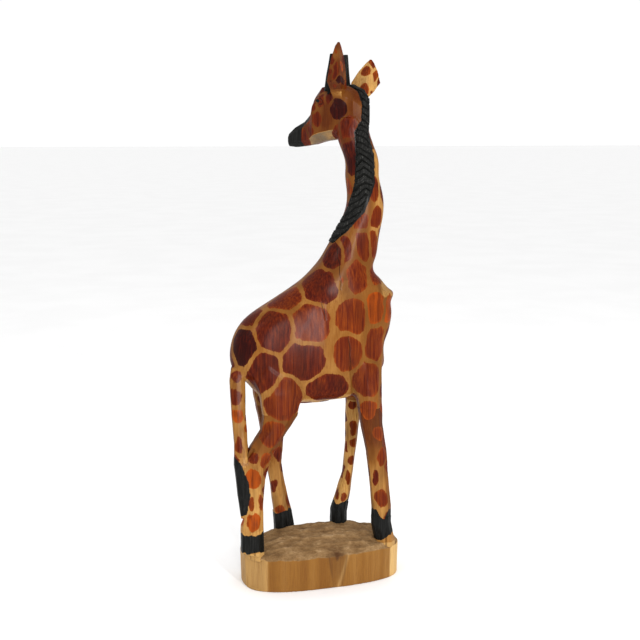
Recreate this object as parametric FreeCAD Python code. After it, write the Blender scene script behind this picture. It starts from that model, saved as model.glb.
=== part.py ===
import FreeCAD, Part
import math
import os

# Carved wooden giraffe on a plinth cut from the same log, in millimetres.
# The frame: +X is the way the giraffe's chest points, +Y is its left, +Z is up.
# The origin is the middle of the plinth's flat underside.
#
# The body, legs, tail, mane and plinth are regions of one carving, and they meet face to face.
# The ears and horns are made apart, with round tenons glued into holes drilled in the head.

Vector = FreeCAD.Vector

# Plinth: a slice of the log, a little narrower at the foot, with a rough mound left on top.
PLINTH_HALF_LENGTH = 92.5
PLINTH_HALF_WIDTH = 46.5
PLINTH_RIM_HEIGHT = 37.0
PLINTH_FOOT_TAPER = 1.0
PLINTH_BLUNTNESS = 2.8
PLINTH_FLATS = 40
# Rows are rise above the rim, middle in y, and shares of the plinth's length and width.
MOUND_SECTIONS = [
    (0.0, 0.0, 1.0, 1.0),
    (4.0, 1.5, 0.93, 0.92),
    (9.0, 5.0, 0.80, 0.76),
    (13.0, 10.0, 0.60, 0.54),
    (16.0, 15.0, 0.34, 0.28),
]

# Trunk and neck: level oval sections, as height, middle in x, half length in x, half width in y.
TRUNK_BLUNTNESS = 2.4
TRUNK_SECTIONS = [
    (206, -12, 24, 10),
    (213, -6, 55, 24),
    (222, -8, 68, 31),
    (235, -10, 78, 34),
    (256, -13.5, 89, 36),
    (283, -10, 89, 35.5),
    (303, -0.5, 85, 34),
    (322, 15, 70.5, 32),
    (335, 24, 58, 30),
    (345, 24.5, 44, 28.5),
    (362, 30, 32, 25),
    (389, 41.5, 26.5, 22),
    (415, 51, 22, 20),
    (442, 52.2, 19.3, 18),
    (469, 49.5, 18.2, 17),
    (495, 41.5, 18.5, 16),
    (508, 38.5, 17.5, 15),
    (521, 37, 14, 12.5),
]
NECK_FOOT_HEIGHT = 345.0

# Legs: eight-sided sections, as height, back in x, front in x, middle in y, half width in y.
# The first row is inside the trunk, and the last one is inside the plinth.
LEG_SECTIONS = {
    "right_fore": [
        (252, 34, 66, -18, 13),
        (208, 38, 65.5, -22, 12.5),
        (180, 42, 66, -24, 11),
        (152, 48, 70, -25, 10),
        (109, 53, 74, -25, 9),
        (84, 55, 77, -25, 10),
        (66, 55, 76.5, -25, 9.5),
        (38.5, 61.5, 82, -24, 11),
    ],
    "left_fore": [
        (252, 34, 62, 16, 12),
        (197, 40, 57, 22, 10),
        (147, 40.5, 53, 26, 8),
        (111, 37, 48, 27, 7.5),
        (88, 29.5, 45, 27, 8.5),
        (68, 22.5, 41, 26, 9),
        (40, 22, 40, 26, 10.5),
    ],
    "right_hind": [
        (256, -84, -32, -16, 14),
        (222, -75, -29, -20, 13.5),
        (200, -72, -34, -21, 12),
        (183, -75, -46, -22, 11),
        (161, -90, -60, -22, 10),
        (150, -95, -66, -22, 10),
        (130, -91, -71, -22, 9),
        (98, -90, -74, -22, 8),
        (76, -98, -74, -22, 10),
        (38, -98, -73, -21, 10.5),
    ],
    "left_hind": [
        (252, -74, -28, 16, 13),
        (216, -71, -30, 24, 12),
        (188, -64, -32, 29, 10.5),
        (159, -59, -35, 31, 9.5),
        (130, -54, -37, 32, 8),
        (104, -49, -33, 32, 8),
        (75, -46, -26, 32, 9.5),
        (40, -44, -20, 32, 10.5),
    ],
}
HOOF_TOP_HEIGHT = {"right_fore": 72.0, "left_fore": 76.0, "right_hind": 70.0, "left_hind": 71.0}

# Tail: a bar lying close behind the right hindleg, then a tuft against its cannon.
# Rows are height, back in x, front in x, middle in y, half width in y.
TAIL_SECTIONS = [
    (252, -104, -84, -8, 7),
    (238, -107, -90, -12, 7),
    (200, -106.5, -91, -17, 6.5),
    (170, -105, -90, -20, 6.5),
    (155, -105, -88, -22, 6.5),
]
TUFT_SECTIONS = [
    (155, -105, -88, -22, 6.5),
    (145, -105.5, -86, -22, 8),
    (110, -101.5, -84, -22, 7),
    (92, -99.5, -87, -22, 4.5),
    (84, -98.5, -93, -22, 2),
]

# Head: turned over the left shoulder. Its own axes are u forward, v to its left, and height.
HEAD_TURN = 124.0
HEAD_PIVOT = Vector(43, 0, 0)
# Rows are u, keel, jaw corner, temple, crown (heights), then half widths at keel, side and crown.
HEAD_SECTIONS = [
    (-12, 508, 516, 533, 541, 4, 8, 3),
    (-5, 502, 511, 540, 550, 6, 14, 6),
    (8, 500, 509, 545, 556, 7, 18, 9),
    (24, 498, 508, 545, 557, 7, 18.5, 10),
    (41, 496, 505, 543, 555, 6, 17.5, 9.5),
    (50, 494, 502, 534, 546, 5, 17, 8.5),
    (57, 492, 499, 519, 528, 4, 12.5, 7),
    (69, 490.5, 496.5, 511, 517.5, 3, 8.5, 5.5),
    (84, 489, 494, 505, 511, 3, 7, 4.5),
    (94, 490, 493.5, 500, 504, 3, 5.5, 3.5),
]
MUZZLE_BACK = 67.0

# Ears: leaves with a corner at the side, as height, u, v, half width and half thickness.
# The left one is the taller. Each blade turns its edge out and back from the head.
EAR_EDGE_TURN = 38.0
EAR_SECTIONS = {
    "left": [
        (535, 11, 14, 4, 5),
        (548, 9.5, 20, 9, 8.5),
        (560, 8.5, 25.5, 15.5, 11),
        (584, 5.5, 28, 8.5, 7.5),
        (597, 4, 29, 3.5, 3.5),
        (601, 3, 29.5, 1.2, 1.2),
    ],
    "right": [
        (535, 11, 14, 4, 5),
        (550, 8.5, 22.5, 12.5, 8),
        (560, 7, 26, 16.5, 8.5),
        (573, 5, 28, 10.5, 6.5),
        (582, 3.5, 29.5, 4.5, 3),
        (585.5, 3, 30, 1.2, 1.2),
    ],
}
TENON_RADIUS = 3.0
EAR_TENON_LENGTH = 14.0
EAR_TENON_OUTER_END = (9.5, 19.5, 549.0)
EAR_TENON_INNER_END = (10.0, 8.0, 541.0)

# Horns: blunt tapering pegs on the crown.
HORN_ROOT_U = 26.5
HORN_ROOT_V = 14.0
HORN_TIP_U = 25.0
HORN_TIP_V = 12.0
HORN_ROOT_HEIGHT = 550.0
HORN_TIP_HEIGHT = 590.5
HORN_ROOT_RADIUS = 6.5
HORN_TIP_RADIUS = 2.6
HORN_TENON_LENGTH = 10.0
HORN_TENON_OVERLAP = 2.0

# Mane: a low ridge that winds from the crown down the nape to the withers.
# Rows are height, compass angle about the neck's middle, half width and stand-off from the neck.
MANE_SECTIONS = [
    (386, 182, 6.5, 1.5),
    (398, 196, 8.5, 3),
    (420, 220, 9, 3.5),
    (450, 252, 9.5, 4),
    (480, 272, 9, 4),
    (505, 288, 8, 4),
]
MANE_DEPTH = 9.0
MANE_CREST_SHARE = 0.55
MANE_EDGE_SHARE = 0.25
MANE_CREST_SECTIONS = [
    (518, -11, 7, 3),
    (533, -12, 6, 2.5),
    (542, -12, 5.5, 2.5),
    (551, -5, 5, 3),
    (557, 7, 3.5, 3),
]


def closed_curve(points):
    """A smooth closed wire through the points."""
    curve = Part.BSplineCurve()
    curve.interpolate(Points=points, PeriodicFlag=True)
    return Part.Wire([curve.toShape()])


def oval_points(height, x_mid, y_mid, half_length, half_width, bluntness, count):
    """Points round a level oval that is blunter than an ellipse when bluntness is over 2."""
    points = []
    for step in range(count):
        angle = 2 * math.pi * step / count
        along = math.copysign(abs(math.cos(angle)) ** (2 / bluntness), math.cos(angle))
        across = math.copysign(abs(math.sin(angle)) ** (2 / bluntness), math.sin(angle))
        points.append(Vector(x_mid + half_length * along, y_mid + half_width * across, height))
    return points


def oval(height, x_mid, half_length, half_width, bluntness):
    """A level section of the trunk or neck, as a smooth curve."""
    return closed_curve(oval_points(height, x_mid, 0, half_length, half_width, bluntness, 24))


def plinth_section(height, y_mid, half_length, half_width):
    """A level section of the plinth, as many narrow sawn flats."""
    corners = oval_points(height, 0, y_mid, half_length, half_width, PLINTH_BLUNTNESS, PLINTH_FLATS)
    return Part.makePolygon(corners + corners[:1])


def octagon(height, x_back, x_front, y_mid, half_width):
    """A level eight-sided section, with corners cut off a rectangle."""
    x_mid = (x_back + x_front) / 2
    half_length = (x_front - x_back) / 2
    corners = []
    for step in range(8):
        angle = math.radians(22.5 + 45 * step)
        reach = 1 / math.cos(math.radians(22.5))
        x = x_mid + half_length * reach * math.cos(angle)
        y = y_mid + half_width * reach * math.sin(angle)
        corners.append(Vector(x, y, height))
    return Part.makePolygon(corners + corners[:1])


def slab(bottom, top):
    """A box that takes in everything between two heights."""
    return Part.makeBox(400, 400, top - bottom, Vector(-200, -200, bottom))


def head_point(u, v, height):
    """The place in the part's frame of a point given along the head's own axes."""
    turn = math.radians(HEAD_TURN)
    forward = Vector(math.cos(turn), math.sin(turn), 0)
    left = Vector(-math.sin(turn), math.cos(turn), 0)
    return HEAD_PIVOT + forward * u + left * v + Vector(0, 0, height)


def trunk_and_neck():
    """The smooth log-shaped body and the neck that rises out of it."""
    wires = []
    for height, x_mid, half_length, half_width in TRUNK_SECTIONS:
        wires.append(oval(height, x_mid, half_length, half_width, TRUNK_BLUNTNESS))
    return Part.makeLoft(wires, True, False)


def plinth():
    """The log's foot: an oval block with a rough mound that rises towards the left side."""
    foot_length = PLINTH_HALF_LENGTH - PLINTH_FOOT_TAPER
    foot_width = PLINTH_HALF_WIDTH - PLINTH_FOOT_TAPER
    wires = [plinth_section(0, 0, foot_length, foot_width)]
    for rise, y_mid, length_share, width_share in MOUND_SECTIONS:
        height = PLINTH_RIM_HEIGHT + rise
        half_length = PLINTH_HALF_LENGTH * length_share
        half_width = PLINTH_HALF_WIDTH * width_share
        wires.append(plinth_section(height, y_mid, half_length, half_width))
    return Part.makeLoft(wires, True, True)


def leg(name):
    """One leg with its hoof, with eight long knife-cut facets."""
    return Part.makeLoft([octagon(*row) for row in LEG_SECTIONS[name]], True, True)


def bar(rows):
    """The tail or its tuft, which has the same faceted section as a leg."""
    return Part.makeLoft([octagon(*row) for row in rows], True, True)


def skull():
    """The whole head in flat facets, from the nape to the nose."""
    wires = []
    for u, keel, jaw, temple, crown, keel_half, side_half, crown_half in HEAD_SECTIONS:
        outline = [
            (keel_half, keel),
            (side_half, jaw),
            (side_half, temple),
            (crown_half, crown),
            (-crown_half, crown),
            (-side_half, temple),
            (-side_half, jaw),
            (-keel_half, keel),
        ]
        corners = [head_point(u, v, height) for v, height in outline]
        wires.append(Part.makePolygon(corners + corners[:1]))
    return Part.makeLoft(wires, True, True)


def ahead_of(u):
    """A box that takes in everything further forward along the head than u."""
    box = Part.makeBox(200, 200, 300, Vector(u, -100, 400))
    box.rotate(Vector(0, 0, 0), Vector(0, 0, 1), HEAD_TURN)
    box.translate(HEAD_PIVOT)
    return box


def ear_blade(side):
    """An ear without its tenon: a four-edged leaf."""
    sign = 1 if side == "left" else -1
    edge_turn = math.radians(EAR_EDGE_TURN)
    edge_u, edge_v = -math.cos(edge_turn), math.sin(edge_turn)
    wires = []
    for height, u, v, half_width, half_thickness in EAR_SECTIONS[side]:
        corners = []
        for wide, thick in ((1, 0), (0, 1), (-1, 0), (0, -1)):
            corner_u = u + edge_u * half_width * wide + edge_v * half_thickness * thick
            corner_v = v + edge_v * half_width * wide - edge_u * half_thickness * thick
            corners.append(head_point(corner_u, sign * corner_v, height))
        wires.append(Part.makePolygon(corners + corners[:1]))
    return Part.makeLoft(wires, True, True)


def ear_tenon(side):
    """The round tenon that runs from inside the ear's root down into the head."""
    sign = 1 if side == "left" else -1
    outer_u, outer_v, outer_height = EAR_TENON_OUTER_END
    inner_u, inner_v, inner_height = EAR_TENON_INNER_END
    start = head_point(outer_u, sign * outer_v, outer_height)
    end = head_point(inner_u, sign * inner_v, inner_height)
    along = end.sub(start).normalize()
    return Part.makeCylinder(TENON_RADIUS, EAR_TENON_LENGTH, start, along)


def horn_axis(side):
    """The horn's root point and its direction up to the tip."""
    sign = 1 if side == "left" else -1
    root = head_point(HORN_ROOT_U, sign * HORN_ROOT_V, HORN_ROOT_HEIGHT)
    tip = head_point(HORN_TIP_U, sign * HORN_TIP_V, HORN_TIP_HEIGHT)
    return root, tip.sub(root)


def horn_peg(side):
    """A horn without its tenon: a blunt cone."""
    root, rise = horn_axis(side)
    return Part.makeCone(HORN_ROOT_RADIUS, HORN_TIP_RADIUS, rise.Length, root, rise)


def horn_tenon(side):
    """The round tenon under a horn."""
    root, rise = horn_axis(side)
    down = Vector(rise).normalize() * -1
    start = root - down * HORN_TENON_OVERLAP
    return Part.makeCylinder(TENON_RADIUS, HORN_TENON_LENGTH + HORN_TENON_OVERLAP, start, down)


def ridge_wire(middle, out, half_width, stand_off, depth):
    """A level four-sided section of the mane: wide at the neck, narrower at its crest."""
    side = Vector(-out.y, out.x, 0)
    crest_half = half_width * MANE_CREST_SHARE
    edge = stand_off * MANE_EDGE_SHARE
    corners = [
        middle - out * depth + side * half_width,
        middle - out * depth - side * half_width,
        middle + out * edge - side * half_width,
        middle + out * stand_off - side * crest_half,
        middle + out * stand_off + side * crest_half,
        middle + out * edge + side * half_width,
    ]
    return Part.makePolygon(corners + corners[:1])


def trunk_size(height):
    """The trunk's middle, half length and half width between two of its sections."""
    for lower, upper in zip(TRUNK_SECTIONS, TRUNK_SECTIONS[1:]):
        if lower[0] <= height <= upper[0]:
            share = (height - lower[0]) / (upper[0] - lower[0])
            return [a + (b - a) * share for a, b in zip(lower[1:], upper[1:])]
    raise ValueError(height)


def mane_ridge():
    """The mane down the neck, then its upper part along the head's nape to the crown."""
    wires = []
    for height, angle, half_width, stand_off in MANE_SECTIONS:
        x_mid, half_length, half_neck = trunk_size(height)
        out = Vector(math.cos(math.radians(angle)), math.sin(math.radians(angle)), 0)
        power = TRUNK_BLUNTNESS
        radius = (abs(out.x / half_length) ** power + abs(out.y / half_neck) ** power) ** (-1 / power)
        middle = Vector(x_mid, 0, height) + out * radius
        wires.append(ridge_wire(middle, out, half_width, stand_off, MANE_DEPTH))
    back = head_point(-1, 0, 0) - head_point(0, 0, 0)
    for height, u, half_width, stand_off in MANE_CREST_SECTIONS:
        middle = head_point(u, 0, height)
        wires.append(ridge_wire(middle, back, half_width, stand_off, MANE_DEPTH))
    return Part.makeLoft(wires, True, True)


def build():
    """Every region and piece, by the name of its node."""
    body = trunk_and_neck()
    base = plinth()
    whole_head = skull()
    neck = body.common(slab(NECK_FOOT_HEIGHT, 560)).cut(whole_head)
    torso = body.common(slab(200, NECK_FOOT_HEIGHT))
    nodes = {"plinth": base, "torso": torso, "neck": neck}

    for side in ("left", "right"):
        whole_head = whole_head.cut(ear_tenon(side)).cut(horn_tenon(side))
    nodes["head"] = whole_head.cut(ahead_of(MUZZLE_BACK))
    nodes["muzzle"] = whole_head.common(ahead_of(MUZZLE_BACK))

    for name in LEG_SECTIONS:
        limb = leg(name).cut(torso).cut(base)
        hoof_top = HOOF_TOP_HEIGHT[name]
        nodes[name + "_leg"] = limb.common(slab(hoof_top, 300))
        nodes[name + "_hoof"] = limb.common(slab(0, hoof_top))

    hindleg = leg("right_hind")
    nodes["tail"] = bar(TAIL_SECTIONS).cut(torso).cut(hindleg)
    nodes["tail_tuft"] = bar(TUFT_SECTIONS).cut(hindleg)
    nodes["mane"] = mane_ridge().cut(body).cut(whole_head)

    for side in ("left", "right"):
        blade = ear_blade(side).cut(skull())
        nodes[side + "_ear"] = blade.fuse(ear_tenon(side))
        peg = horn_peg(side).cut(skull())
        nodes[side + "_horn"] = peg.fuse(horn_tenon(side))
    return nodes


def keep_largest(shape):
    """The one solid of a node, without crumbs that a cut leaves behind."""
    return max(shape.Solids, key=lambda solid: solid.Volume)


def main():
    os.makedirs("parts", exist_ok=True)
    for name, shape in build().items():
        solid = keep_largest(shape)
        crumbs = shape.Volume - solid.Volume
        print(f"{name:18s} valid {solid.isValid()} volume {solid.Volume:10.0f} crumbs {crumbs:8.2f}")
        solid.exportStep(f"parts/{name}.step")


main()
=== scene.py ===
"""Carved giraffe statue on a block of its own log.

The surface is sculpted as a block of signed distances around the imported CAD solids, in millimetres,
then turned into closed meshes, cut into named pieces, painted through vertex attributes and shaded.
"""
import itertools
import math

import bmesh
import bpy
import numpy as np
import openvdb
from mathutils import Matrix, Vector


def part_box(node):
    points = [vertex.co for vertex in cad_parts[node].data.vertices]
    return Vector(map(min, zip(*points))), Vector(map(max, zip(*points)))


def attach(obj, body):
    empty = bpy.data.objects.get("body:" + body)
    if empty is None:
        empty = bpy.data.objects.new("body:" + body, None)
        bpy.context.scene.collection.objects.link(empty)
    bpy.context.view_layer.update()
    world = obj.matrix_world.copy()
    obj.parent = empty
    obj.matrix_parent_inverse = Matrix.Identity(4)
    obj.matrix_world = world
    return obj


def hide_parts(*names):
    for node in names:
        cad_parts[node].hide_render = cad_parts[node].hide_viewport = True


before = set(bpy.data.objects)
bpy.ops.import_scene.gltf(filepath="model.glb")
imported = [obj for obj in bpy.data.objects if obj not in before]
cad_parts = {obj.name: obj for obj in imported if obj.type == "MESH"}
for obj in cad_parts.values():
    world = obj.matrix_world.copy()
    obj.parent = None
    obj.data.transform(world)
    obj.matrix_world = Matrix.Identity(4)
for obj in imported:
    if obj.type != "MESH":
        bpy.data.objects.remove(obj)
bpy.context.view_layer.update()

# Everything below is in millimetres unless it is named otherwise; Blender works in metres.
MM = 0.001
# How far from a surface signed distances are known.
BAND = 12.0
COARSE = 1.0

# The camera stands a little behind the right flank and above the withers.
CAMERA_AZIMUTH = math.radians(-18)
CAMERA_ELEVATION = math.radians(9)
CAMERA_DISTANCE = 1.281
CAMERA_TARGET = Vector((-0.0035, -0.012, 0.300))
CAMERA_LENS = 65.0

# The head's own axes: u forward, v to its left, with the height kept as z.
HEAD_TURN = math.radians(124)
HEAD_PIVOT = np.array([43.0, 0.0])

LEGS = ("right_fore", "left_fore", "right_hind", "left_hind")
# Heights where pieces meet, and how far along the head the muzzle begins.
BELLY_CUT = 200.0
WITHERS_CUT = 345.0
THROAT_CUT = 487.0
MUZZLE_CUT = 67.0
# Between these heights the legs thin away inside the trunk.
LEG_FADE = (240, 285)
# How far the legs reach down into the plinth.
LEG_SINK = 3.0
# The x of the neck's middle at rising heights.
NECK_MIDDLE = ((345, 24.5), (389, 41.5), (415, 51), (442, 52), (469, 49.5), (495, 41.5), (521, 37))
# The eyes' place along the head, and their height.
EYE_U = 41.0
EYE_HEIGHT = 540.0


# ---------------------------------------------------------------- numbers over the surface

def head_axes(points):
    """The u and v of points, along the head and to its left."""
    x = points[:, 0] - HEAD_PIVOT[0]
    y = points[:, 1] - HEAD_PIVOT[1]
    u = x * math.cos(HEAD_TURN) + y * math.sin(HEAD_TURN)
    v = -x * math.sin(HEAD_TURN) + y * math.cos(HEAD_TURN)
    return u, v


def head_place(u, v, height):
    """The x, y and z of a place given along the head's axes."""
    x = HEAD_PIVOT[0] + u * math.cos(HEAD_TURN) - v * math.sin(HEAD_TURN)
    y = HEAD_PIVOT[1] + u * math.sin(HEAD_TURN) + v * math.cos(HEAD_TURN)
    return (x, y, height)


def muzzle_seam():
    """Where the muzzle meets the head, as a place and the direction towards the nose."""
    return (head_place(MUZZLE_CUT, 0, 0), (math.cos(HEAD_TURN), math.sin(HEAD_TURN), 0))


def ease(low, high, value):
    """0 below low, 1 above high, and smooth between them; low may be the larger."""
    share = np.clip((value - low) / (high - low), 0, 1)
    return share * share * (3 - 2 * share)


def lattice_values(keys, seed):
    """A repeatable number from 0 to 1 for each whole-number place."""
    mixed = keys[:, 0] * 73856093 ^ keys[:, 1] * 19349663 ^ keys[:, 2] * 83492791 ^ seed * 2654435
    mixed = (mixed ^ (mixed >> 13)) * 1274126177
    mixed = (mixed ^ (mixed >> 16)) & 0xFFFFFF
    return mixed / 0xFFFFFF


def bumps(points, size, seed):
    """Smooth noise from -1 to 1, with bumps about size across (one number, or one for each axis)."""
    cell = points / np.array(size, float)
    base = np.floor(cell).astype(np.int64)
    part = cell - base
    part = part * part * (3 - 2 * part)
    total = np.zeros(len(points))
    for corner in itertools.product((0, 1), repeat=3):
        weight = np.prod(np.where(corner, part, 1 - part), axis=1)
        total += weight * lattice_values(base + corner, seed)
    return total * 2 - 1


def scallops(points, size, seed):
    """Gouge marks: 0 at the middle of each cut and 1 on the ridges between cuts."""
    cell = points / np.array(size, float)
    base = np.floor(cell).astype(np.int64)
    nearest = np.full(len(points), 9.0)
    for corner in itertools.product((-1, 0, 1), repeat=3):
        key = base + corner
        middle = np.stack([key[:, axis] + lattice_values(key, seed + axis) for axis in range(3)], 1)
        nearest = np.minimum(nearest, ((cell - middle) ** 2).sum(1))
    return np.clip(nearest, 0, 1)


# ---------------------------------------------------------------- blocks of signed distances

def node_polygons(name):
    """A CAD node's points in millimetres, and its triangles."""
    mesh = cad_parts[name].data
    mesh.calc_loop_triangles()
    points = np.empty(len(mesh.vertices) * 3, np.float32)
    mesh.vertices.foreach_get("co", points)
    triangles = np.empty(len(mesh.loop_triangles) * 3, np.int32)
    mesh.loop_triangles.foreach_get("vertices", triangles)
    return points.reshape(-1, 3) / MM, triangles.reshape(-1, 3).astype(np.uint32)


def box_corners(name):
    """The low and high corners of a CAD node's box, in millimetres."""
    low, high = (np.array(corner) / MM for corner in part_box(name))
    return low, high


def open_shell(names, seams):
    """The nodes' polygons as one shell, without the faces where they meet at a seam."""
    all_points = []
    all_triangles = []
    offset = 0
    for name in names:
        points, triangles = node_polygons(name)
        keep = np.ones(len(triangles), bool)
        for place, direction in seams:
            off_plane = np.abs((points - np.array(place)) @ np.array(direction))
            keep &= off_plane[triangles].max(1) > 0.02
        all_points.append(points)
        all_triangles.append(triangles[keep] + offset)
        offset += len(points)
    return np.concatenate(all_points), np.concatenate(all_triangles)


class Block:
    """A box of space divided into voxels, holding signed distances in millimetres, negative in wood."""

    def __init__(self, low, high, voxel):
        self.voxel = voxel * COARSE
        self.first = np.floor(np.array(low) / self.voxel).astype(int)
        last = np.ceil(np.array(high) / self.voxel).astype(int)
        self.count = tuple(int(n) for n in last - self.first + 1)

    def transform(self):
        """How voxel numbers become millimetres."""
        return openvdb.createLinearTransform(voxelSize=self.voxel)

    def distances(self, names, seams=()):
        """Signed distances to the solid that the nodes make together."""
        points, triangles = open_shell(names, seams)
        grid = openvdb.FloatGrid.createLevelSetFromPolygons(
            points, triangles=triangles, transform=self.transform(), halfWidth=BAND / self.voxel)
        values = np.empty(self.count, np.float32)
        grid.copyToArray(values, ijk=tuple(int(n) for n in self.first))
        return values

    def sample(self, values, points):
        """The values at points, mixed from the eight voxels around each."""
        place = points / self.voxel - self.first
        place = np.clip(place, 0, np.array(self.count) - 1.001)
        base = place.astype(int)
        part = place - base
        total = np.zeros(len(points))
        for corner in itertools.product((0, 1), repeat=3):
            weight = np.prod(np.where(corner, part, 1 - part), axis=1)
            x, y, z = (base + corner).T
            total += weight * values[x, y, z]
        return total

    def heights(self):
        """The height of each layer of voxels, ready to combine with values."""
        return ((self.first[2] + np.arange(self.count[2])) * self.voxel)[None, None, :]

    def surface(self, values):
        """The points and four-sided faces of the surface where the distance is 0."""
        grid = openvdb.FloatGrid(BAND)
        grid.transform = self.transform()
        grid.copyFromArray(np.ascontiguousarray(values), ijk=tuple(int(n) for n in self.first))
        points, quads = grid.convertToQuads()
        return points.astype(float), quads.astype(np.int32)


def blend(a, b, reach):
    """The union of two solids, with a fillet about reach wide where they meet."""
    share = np.clip(0.5 + 0.5 * (b - a) / reach, 0, 1)
    return b + (a - b) * share - reach * share * (1 - share)


def level(height):
    """A level seam or cut at a height, as a place and a direction."""
    return ((0, 0, height), (0, 0, 1))


def seam_height(node):
    """The height of a node's top face, in millimetres."""
    return box_corners(node)[1][2]


def trunk_distances(block):
    """Trunk and neck as one smooth solid."""
    return block.distances(["torso", "neck"], [level(WITHERS_CUT)])


def leg_distances(block, name):
    """One leg with its hoof, carried a little way down into the plinth."""
    hoof = name + "_hoof"
    values = block.distances([name + "_leg", hoof], [level(seam_height(hoof))])
    steps = max(1, round(LEG_SINK / block.voxel))
    sunk = values.copy()
    sunk[:, :, :-steps] = np.minimum(values[:, :, :-steps], values[:, :, steps:])
    return sunk


def tail_distances(block):
    """The tail and its tuft as one solid."""
    return block.distances(["tail", "tail_tuft"], [level(seam_height("tail_tuft"))])


# ---------------------------------------------------------------- meshes

def move_points(mesh, points):
    """Puts the mesh's vertices at points, given in millimetres."""
    mesh.vertices.foreach_set("co", (points * MM).astype(np.float32).ravel())


def mesh_object(name, points, faces):
    """An object from points in millimetres and equal-sided faces."""
    mesh = bpy.data.meshes.new(name)
    mesh.vertices.add(len(points))
    move_points(mesh, points)
    mesh.loops.add(faces.size)
    mesh.loops.foreach_set("vertex_index", faces.ravel())
    mesh.polygons.add(len(faces))
    mesh.polygons.foreach_set("loop_start", np.arange(0, faces.size, faces.shape[1]))
    mesh.update(calc_edges=True)
    mesh.validate()
    piece = bpy.data.objects.new(name, mesh)
    bpy.context.scene.collection.objects.link(piece)
    return piece


def vertex_normals(mesh):
    """The mesh's own vertex normals, as rows."""
    normals = np.empty(len(mesh.vertices) * 3, np.float32)
    mesh.vertex_normals.foreach_get("vector", normals)
    return normals.reshape(-1, 3).astype(float)


def mesh_points(mesh):
    """The mesh's points in millimetres, as rows."""
    points = np.empty(len(mesh.vertices) * 3, np.float32)
    mesh.vertices.foreach_get("co", points)
    return points.reshape(-1, 3).astype(float) / MM


def outward(points, faces):
    """Faces turned so that their normals point out of the wood."""
    a, b, c = (points[faces[:, corner]] for corner in range(3))
    volume = np.einsum("ij,ij->i", a, np.cross(b, c)).sum()
    return faces if volume > 0 else faces[:, ::-1].copy()


def largest_shell(points, faces):
    """The biggest connected part of a mesh, without crumbs."""
    group = np.arange(len(points))
    while True:
        lowest = group[faces].min(1)
        before = group.copy()
        np.minimum.at(group, faces.ravel(), np.repeat(lowest, faces.shape[1]))
        group = group[group]
        if (group == before).all():
            break
    kinds, sizes = np.unique(group, return_counts=True)
    kept = group == kinds[sizes.argmax()]
    new_index = np.cumsum(kept) - 1
    faces = faces[kept[faces[:, 0]]]
    return points[kept], new_index[faces].astype(np.int32)


def sculpt(name, block, values, cuts, detail, rounds=1):
    """A closed piece: surfaced, lightly smoothed, detailed, then trimmed by the cuts."""
    points, faces = block.surface(values)
    points, faces = largest_shell(points, outward(points, faces))
    piece = mesh_object(name, points, faces)
    mesh = piece.data
    points = relax(points, faces, rounds)
    move_points(mesh, points)
    mesh.update()
    relief = detail(points, vertex_normals(mesh))
    store(mesh, "relief", relief)
    points = points + vertex_normals(mesh) * relief[:, None]
    move_points(mesh, points)
    mesh.update()
    smooth = mesh.attributes.new("smooth_normal", "FLOAT_VECTOR", "POINT")
    smooth.data.foreach_set("vector", vertex_normals(mesh).astype(np.float32).ravel())
    trim(mesh, cuts)
    return piece


def relax(points, faces, rounds):
    """Points moved part of the way to the middle of their neighbours."""
    starts = faces.ravel()
    ends = np.roll(faces, -1, axis=1).ravel()
    for _ in range(rounds):
        total = np.zeros_like(points)
        number = np.zeros(len(points))
        for a, b in ((starts, ends), (ends, starts)):
            np.add.at(number, a, 1)
            for axis in range(3):
                total[:, axis] += np.bincount(a, weights=points[b, axis], minlength=len(points))
        points = points * 0.5 + total / np.maximum(number, 1)[:, None] * 0.5
    return points


def trim(mesh, cuts):
    """Takes away what is beyond each cut's direction, and closes the mesh with a flat face there."""
    work = bmesh.new()
    work.from_mesh(mesh)
    for place, direction in cuts:
        everything = work.verts[:] + work.edges[:] + work.faces[:]
        result = bmesh.ops.bisect_plane(
            work, geom=everything, plane_co=Vector(place) * MM, plane_no=Vector(direction),
            clear_outer=True, dist=1e-7)
        rim = [item for item in result["geom_cut"] if isinstance(item, bmesh.types.BMEdge)]
        bmesh.ops.holes_fill(work, edges=rim)
    work.to_mesh(mesh)
    work.free()
    mesh.update()


def shade_smooth(piece):
    """Uses the normals that the surface had before it was cut, so that no seam shows between pieces."""
    mesh = piece.data
    stored = np.empty(len(mesh.vertices) * 3, np.float32)
    mesh.attributes["smooth_normal"].data.foreach_get("vector", stored)
    stored = stored.reshape(-1, 3)
    stored /= np.maximum(np.linalg.norm(stored, axis=1, keepdims=True), 1e-6)
    corner_vertex = np.empty(len(mesh.loops), np.int32)
    mesh.loops.foreach_get("vertex_index", corner_vertex)
    normals = stored[corner_vertex]
    for face in mesh.polygons:
        if len(face.vertices) > 6:
            normals[face.loop_start:face.loop_start + face.loop_total] = face.normal
    mesh.attributes.remove(mesh.attributes["smooth_normal"])
    mesh.shade_smooth()
    mesh.normals_split_custom_set(normals)


def store(mesh, name, values):
    """Keeps one number for each vertex, for the material to read."""
    layer = mesh.attributes.new(name, "FLOAT", "POINT")
    layer.data.foreach_set("value", np.asarray(values, np.float32))


# ---------------------------------------------------------------- spots

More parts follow.
